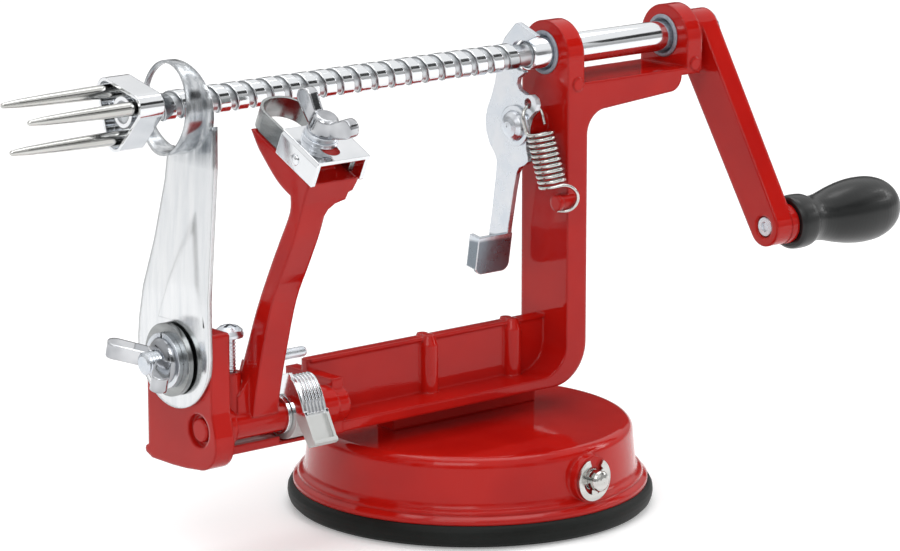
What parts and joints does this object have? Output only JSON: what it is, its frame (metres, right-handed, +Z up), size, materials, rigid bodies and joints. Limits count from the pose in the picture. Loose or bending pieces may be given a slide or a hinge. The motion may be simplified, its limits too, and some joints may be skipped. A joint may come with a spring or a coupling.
{
  "type": "apple peeler",
  "caption": "Hand cranked apple peeler with a threaded spindle and fork, sprung peeling arm, corer ring with slicing blade, release latch and a suction base.",
  "frame": {"origin": "centre of the suction pad's underside, on the table", "axes": "+X along the spindle toward the crank, +Y away from the user, +Z up"},
  "size_m": [0.2904, 0.1155, 0.1391],
  "materials": {
    "red_paint": "glossy enamel",
    "chrome": "polished",
    "zinc_steel": "zinc plated",
    "bush_grey": "satin grey",
    "rubber": "matt",
    "black_plastic": "semi gloss"
  },
  "bodies": {
    "frame": {"frame": "red_paint", "base_housing": "red_paint", "suction_pad": "rubber", "base_screw_left": "zinc_steel", "base_screw_right": "zinc_steel", "latch_rivet": "chrome", "latch_washer": "zinc_steel", "latch_spring": "chrome", "arm_pin": "red_paint", "arm_washer": "chrome", "arm_spring": "zinc_steel", "slicer_bolt": "zinc_steel"},
    "suction_cam": {"cam_shaft": "zinc_steel", "suction_lever": "chrome", "e_clip": "chrome"},
    "pad_lifter": {"pad_stud": "zinc_steel"},
    "bushes": {"left_bush": "bush_grey", "right_bush": "bush_grey"},
    "spindle": {"spindle_rod": "chrome", "fork_hub": "chrome", "prong_near": "chrome", "prong_far": "chrome", "prong_low": "chrome", "crank_arm": "red_paint", "crank_washer": "zinc_steel", "crank_screw": "zinc_steel", "grip_bolt": "zinc_steel"},
    "grip": {"grip": "black_plastic"},
    "latch": {"latch_plate": "zinc_steel"},
    "peel_arm": {"peel_arm": "red_paint", "arm_stud": "zinc_steel", "arm_lever": "chrome"},
    "arm_screw": {"arm_screw": "zinc_steel"},
    "holder": {"blade_holder": "chrome", "peel_blade": "chrome", "blade_rivet_left": "chrome", "blade_rivet_right": "chrome"},
    "holder_screw": {"holder_screw": "chrome", "holder_washer": "zinc_steel", "holder_spring_washer": "zinc_steel"},
    "slicer": {"slicer_blade": "chrome", "slicer_washer": "zinc_steel"},
    "slicer_nut": {"slicer_wing_nut": "chrome", "slicer_lock_washer": "zinc_steel"}
  },
  "joints": [
    {"name": "spindle_turn", "type": "hinge", "parent": "frame", "child": "bushes", "pos_m": [0, 0, 0.127], "axis": [1, 0, 0], "range_deg": [0, 7200]},
    {"name": "spindle_feed", "type": "slide", "parent": "bushes", "child": "spindle", "axis": [1, 0, 0], "range_m": [0, 0.12]},
    {"name": "grip_spin", "type": "hinge", "parent": "spindle", "child": "grip", "pos_m": [0.115, -0.03337, 0.0738], "axis": [1, 0, 0], "continuous": true},
    {"name": "latch_release", "type": "hinge", "parent": "frame", "child": "latch", "pos_m": [0.0194, 0.002, 0.1065], "axis": [1, 0, 0], "range_deg": [-14, 0], "stiffness_Nm_per_rad": 0.15, "springref_deg": 17.19, "deforming": ["latch_spring"]},
    {"name": "arm_swing", "type": "hinge", "parent": "frame", "child": "peel_arm", "pos_m": [-0.083, -0.0089, 0.0395], "axis": [1, 0, 0], "range_deg": [0, 40], "stiffness_Nm_per_rad": 0.1, "springref_deg": -34.38, "deforming": ["arm_spring"]},
    {"name": "arm_screw_turn", "type": "hinge", "parent": "peel_arm", "child": "arm_screw", "pos_m": [-0.0918, -0.0084, 0.06], "axis": [0, 0, 1], "continuous": true},
    {"name": "holder_slide", "type": "slide", "parent": "peel_arm", "child": "holder", "axis": [0, 0.9063, 0.4226], "range_m": [-0.0025, 0.0015]},
    {"name": "holder_screw_turn", "type": "hinge", "parent": "peel_arm", "child": "holder_screw", "pos_m": [-0.081, -0.03162, 0.11371], "axis": [0, -0.4226, 0.9063], "continuous": true},
    {"name": "slicer_swing", "type": "hinge", "parent": "frame", "child": "slicer", "pos_m": [-0.104, 0, 0.058], "axis": [1, 0, 0], "range_deg": [-4, 4]},
    {"name": "slicer_nut_turn", "type": "hinge", "parent": "frame", "child": "slicer_nut", "pos_m": [-0.11, 0, 0.058], "axis": [1, 0, 0], "continuous": true},
    {"name": "suction_lever_turn", "type": "hinge", "parent": "frame", "child": "suction_cam", "pos_m": [0, 0, 0.0157], "axis": [0.061, -0.9981, 0], "range_deg": [0, 90]},
    {"name": "pad_lift", "type": "slide", "parent": "frame", "child": "pad_lifter", "axis": [0, 0, 1], "range_m": [0, 0.002]}
  ],
  "couplings": [
    {"joint": "spindle_feed", "follows": "spindle_turn", "m_per_rad": 0.00095493},
    {"joint": "pad_lift", "follows": "suction_lever_turn", "m_per_rad": 0.0012732}
  ]
}
